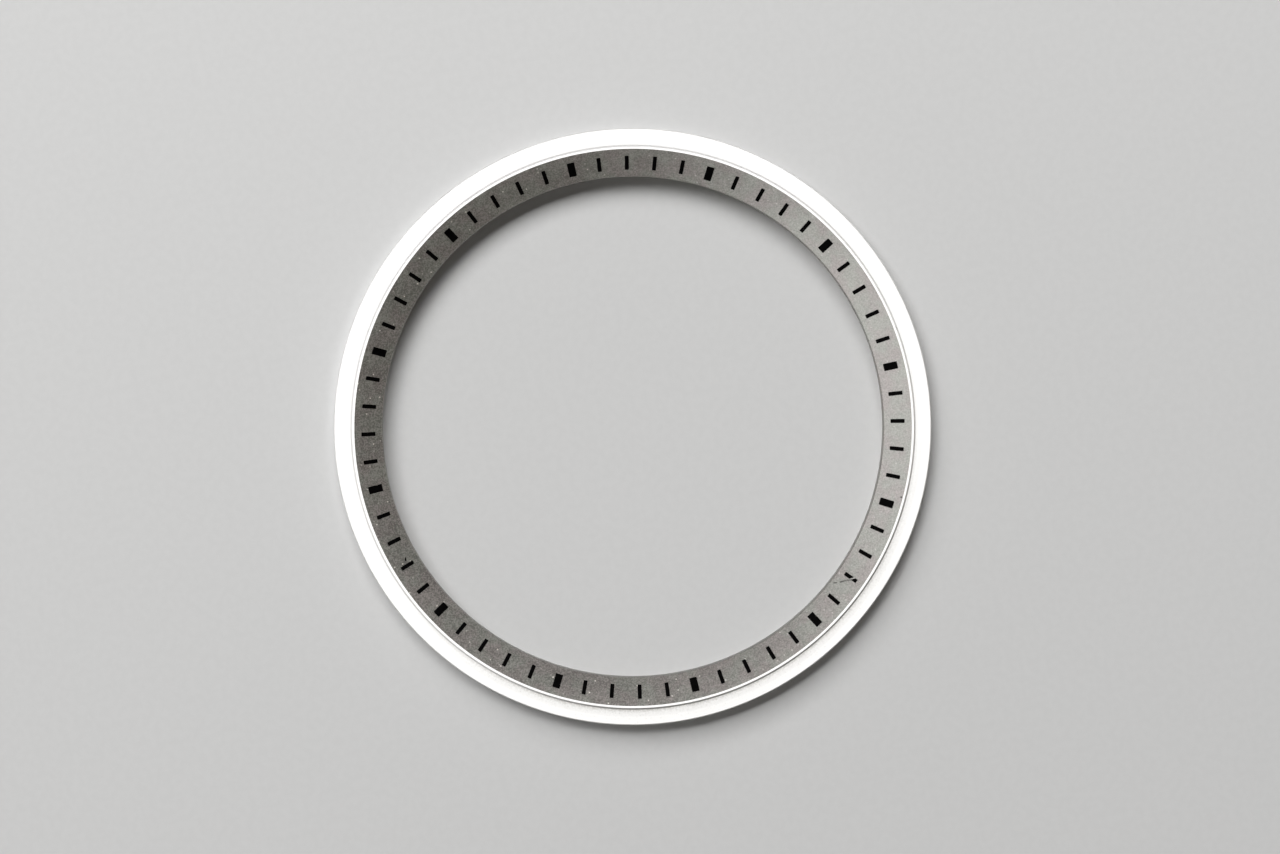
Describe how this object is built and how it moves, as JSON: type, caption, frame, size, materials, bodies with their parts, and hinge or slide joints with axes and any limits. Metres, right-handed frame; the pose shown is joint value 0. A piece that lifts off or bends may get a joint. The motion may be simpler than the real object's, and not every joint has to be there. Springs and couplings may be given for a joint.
{
  "type": "watch chapter ring",
  "caption": "Thin turned metal ring that frames a watch dial, with a low outer flange, a narrow raised rim and an inward cone that carries printed minute marks.",
  "frame": {"origin": "centre of the ring on its flat underside", "axes": "+Z along the ring's axis from the underside to the rim, towards the crystal; +Y towards the zero-minute mark; minutes run clockwise seen from +Z"},
  "size_m": [0.0315, 0.0314, 0.0019],
  "materials": {
    "ring_metal": "fine satin, turned flats lighter than the cone",
    "mark_ink": "matt black printing ink"
  },
  "bodies": {
    "root": {"ring_body": "ring_metal", "five_minute_mark_00": "mark_ink", "five_minute_mark_05": "mark_ink", "five_minute_mark_10": "mark_ink", "five_minute_mark_15": "mark_ink", "five_minute_mark_20": "mark_ink", "five_minute_mark_25": "mark_ink", "five_minute_mark_30": "mark_ink", "five_minute_mark_35": "mark_ink", "five_minute_mark_40": "mark_ink", "five_minute_mark_45": "mark_ink", "five_minute_mark_50": "mark_ink", "five_minute_mark_55": "mark_ink", "minute_marks_01_04": "mark_ink", "minute_marks_06_09": "mark_ink", "minute_marks_11_14": "mark_ink", "minute_marks_16_19": "mark_ink", "minute_marks_21_24": "mark_ink", "minute_marks_26_29": "mark_ink", "minute_marks_31_34": "mark_ink", "minute_marks_36_39": "mark_ink", "minute_marks_41_44": "mark_ink", "minute_marks_46_49": "mark_ink", "minute_marks_51_54": "mark_ink", "minute_marks_56_59": "mark_ink"}
  },
  "joints": []
}
